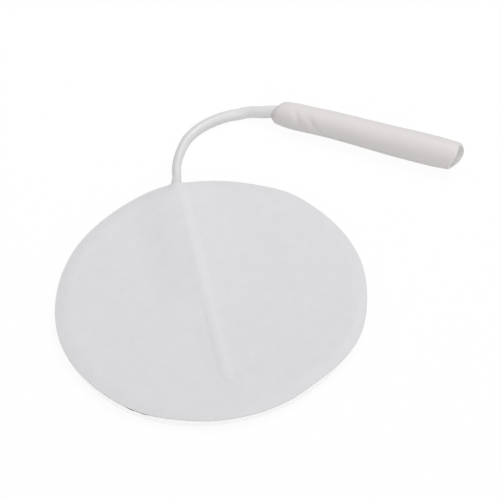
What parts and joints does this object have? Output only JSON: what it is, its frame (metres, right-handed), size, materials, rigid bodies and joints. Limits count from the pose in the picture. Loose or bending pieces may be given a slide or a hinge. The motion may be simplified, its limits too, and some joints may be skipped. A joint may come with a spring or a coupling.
{
  "type": "ecg electrode",
  "caption": "Round white gel electrode pad with a ridge over its embedded lead, and a short pigtail lead ending in a tubular pin socket.",
  "frame": {"origin": "centre of the pad's skin face, the flat underside of the hydrogel", "axes": "+Z out of the pad's back, away from the skin; +Y along the lead in the pad, which lies 0.8 mm beside the middle, towards its exit at the rim; the free lead and its socket lie beside the pad, on the same surface"},
  "size_m": [0.0729, 0.0662, 0.0053],
  "materials": {
    "hydrogel": "clear, tacky and wet-looking",
    "carbon_film": "matt carbon-filled film",
    "nonwoven": "soft matt nonwoven",
    "lead_vinyl": "satin soft vinyl",
    "tinned_strand": "bright tinned wire",
    "nickel_contact": "nickel plated",
    "sleeve_vinyl": "satin soft vinyl"
  },
  "bodies": {
    "root": {"hydrogel": "hydrogel", "carbon_film": "carbon_film", "backing": "nonwoven", "lead_jacket": "lead_vinyl", "strand_core": "tinned_strand", "strand_1": "tinned_strand", "strand_2": "tinned_strand", "strand_3": "tinned_strand", "strand_4": "tinned_strand", "strand_5": "tinned_strand", "strand_6": "tinned_strand", "socket_contact": "nickel_contact", "connector_sleeve": "sleeve_vinyl"}
  },
  "joints": []
}
